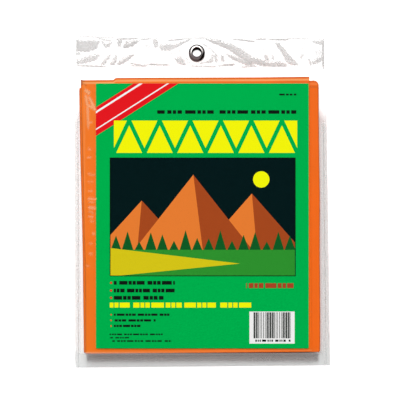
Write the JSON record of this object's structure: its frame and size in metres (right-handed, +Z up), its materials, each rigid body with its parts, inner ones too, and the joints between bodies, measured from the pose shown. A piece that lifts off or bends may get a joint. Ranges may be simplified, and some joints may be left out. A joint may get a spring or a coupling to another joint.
{
  "type": "emergency tube tent",
  "caption": "Folded orange film tube tent behind a printed card, in a clear pouch open at its lower end, under a welded header with a hanging eyelet.",
  "frame": {"origin": "on the surface that the pack lies on, under the middle of its outline", "axes": "+X across the pack, +Y towards its header, +Z up through its front"},
  "size_m": [0.216, 0.2836, 0.0211],
  "materials": {
    "clear_film": "clear film, glossy, softly wrinkled",
    "welded_film": "clear film, hazed where it is fused",
    "orange_polyethylene": "thin orange film with a waxy sheen, pressed flat in its folds",
    "green_card": "smooth printed card, lightly coated",
    "white_paper": "uncoated paper",
    "nickel_plate": "bright nickel plate"
  },
  "bodies": {
    "pouch": {"pouch_front_film": "clear_film", "pouch_back_film": "clear_film", "side_weld_left": "welded_film", "side_weld_right": "welded_film", "top_weld": "welded_film"},
    "header": {"header_weld": "welded_film", "header_strip": "clear_film", "eyelet": "nickel_plate", "eyelet_washer": "nickel_plate"},
    "tent": {"folded_tent": "orange_polyethylene"},
    "card": {"insert_card": "green_card"},
    "leaflet": {"instruction_leaflet": "white_paper"}
  },
  "joints": [
    {"name": "header_fold", "type": "hinge", "parent": "pouch", "child": "header", "pos_m": [0, 0.11454, 0.0022], "axis": [1, 0, 0], "range_deg": [-100, 100]},
    {"name": "tent_slide", "type": "slide", "parent": "pouch", "child": "tent", "axis": [0, -1, 0], "range_m": [0, 0.25]},
    {"name": "card_slide", "type": "slide", "parent": "tent", "child": "card", "axis": [0, -1, 0], "range_m": [0, 0.245]},
    {"name": "leaflet_slide", "type": "slide", "parent": "tent", "child": "leaflet", "axis": [0, -1, 0], "range_m": [0, 0.23]}
  ]
}
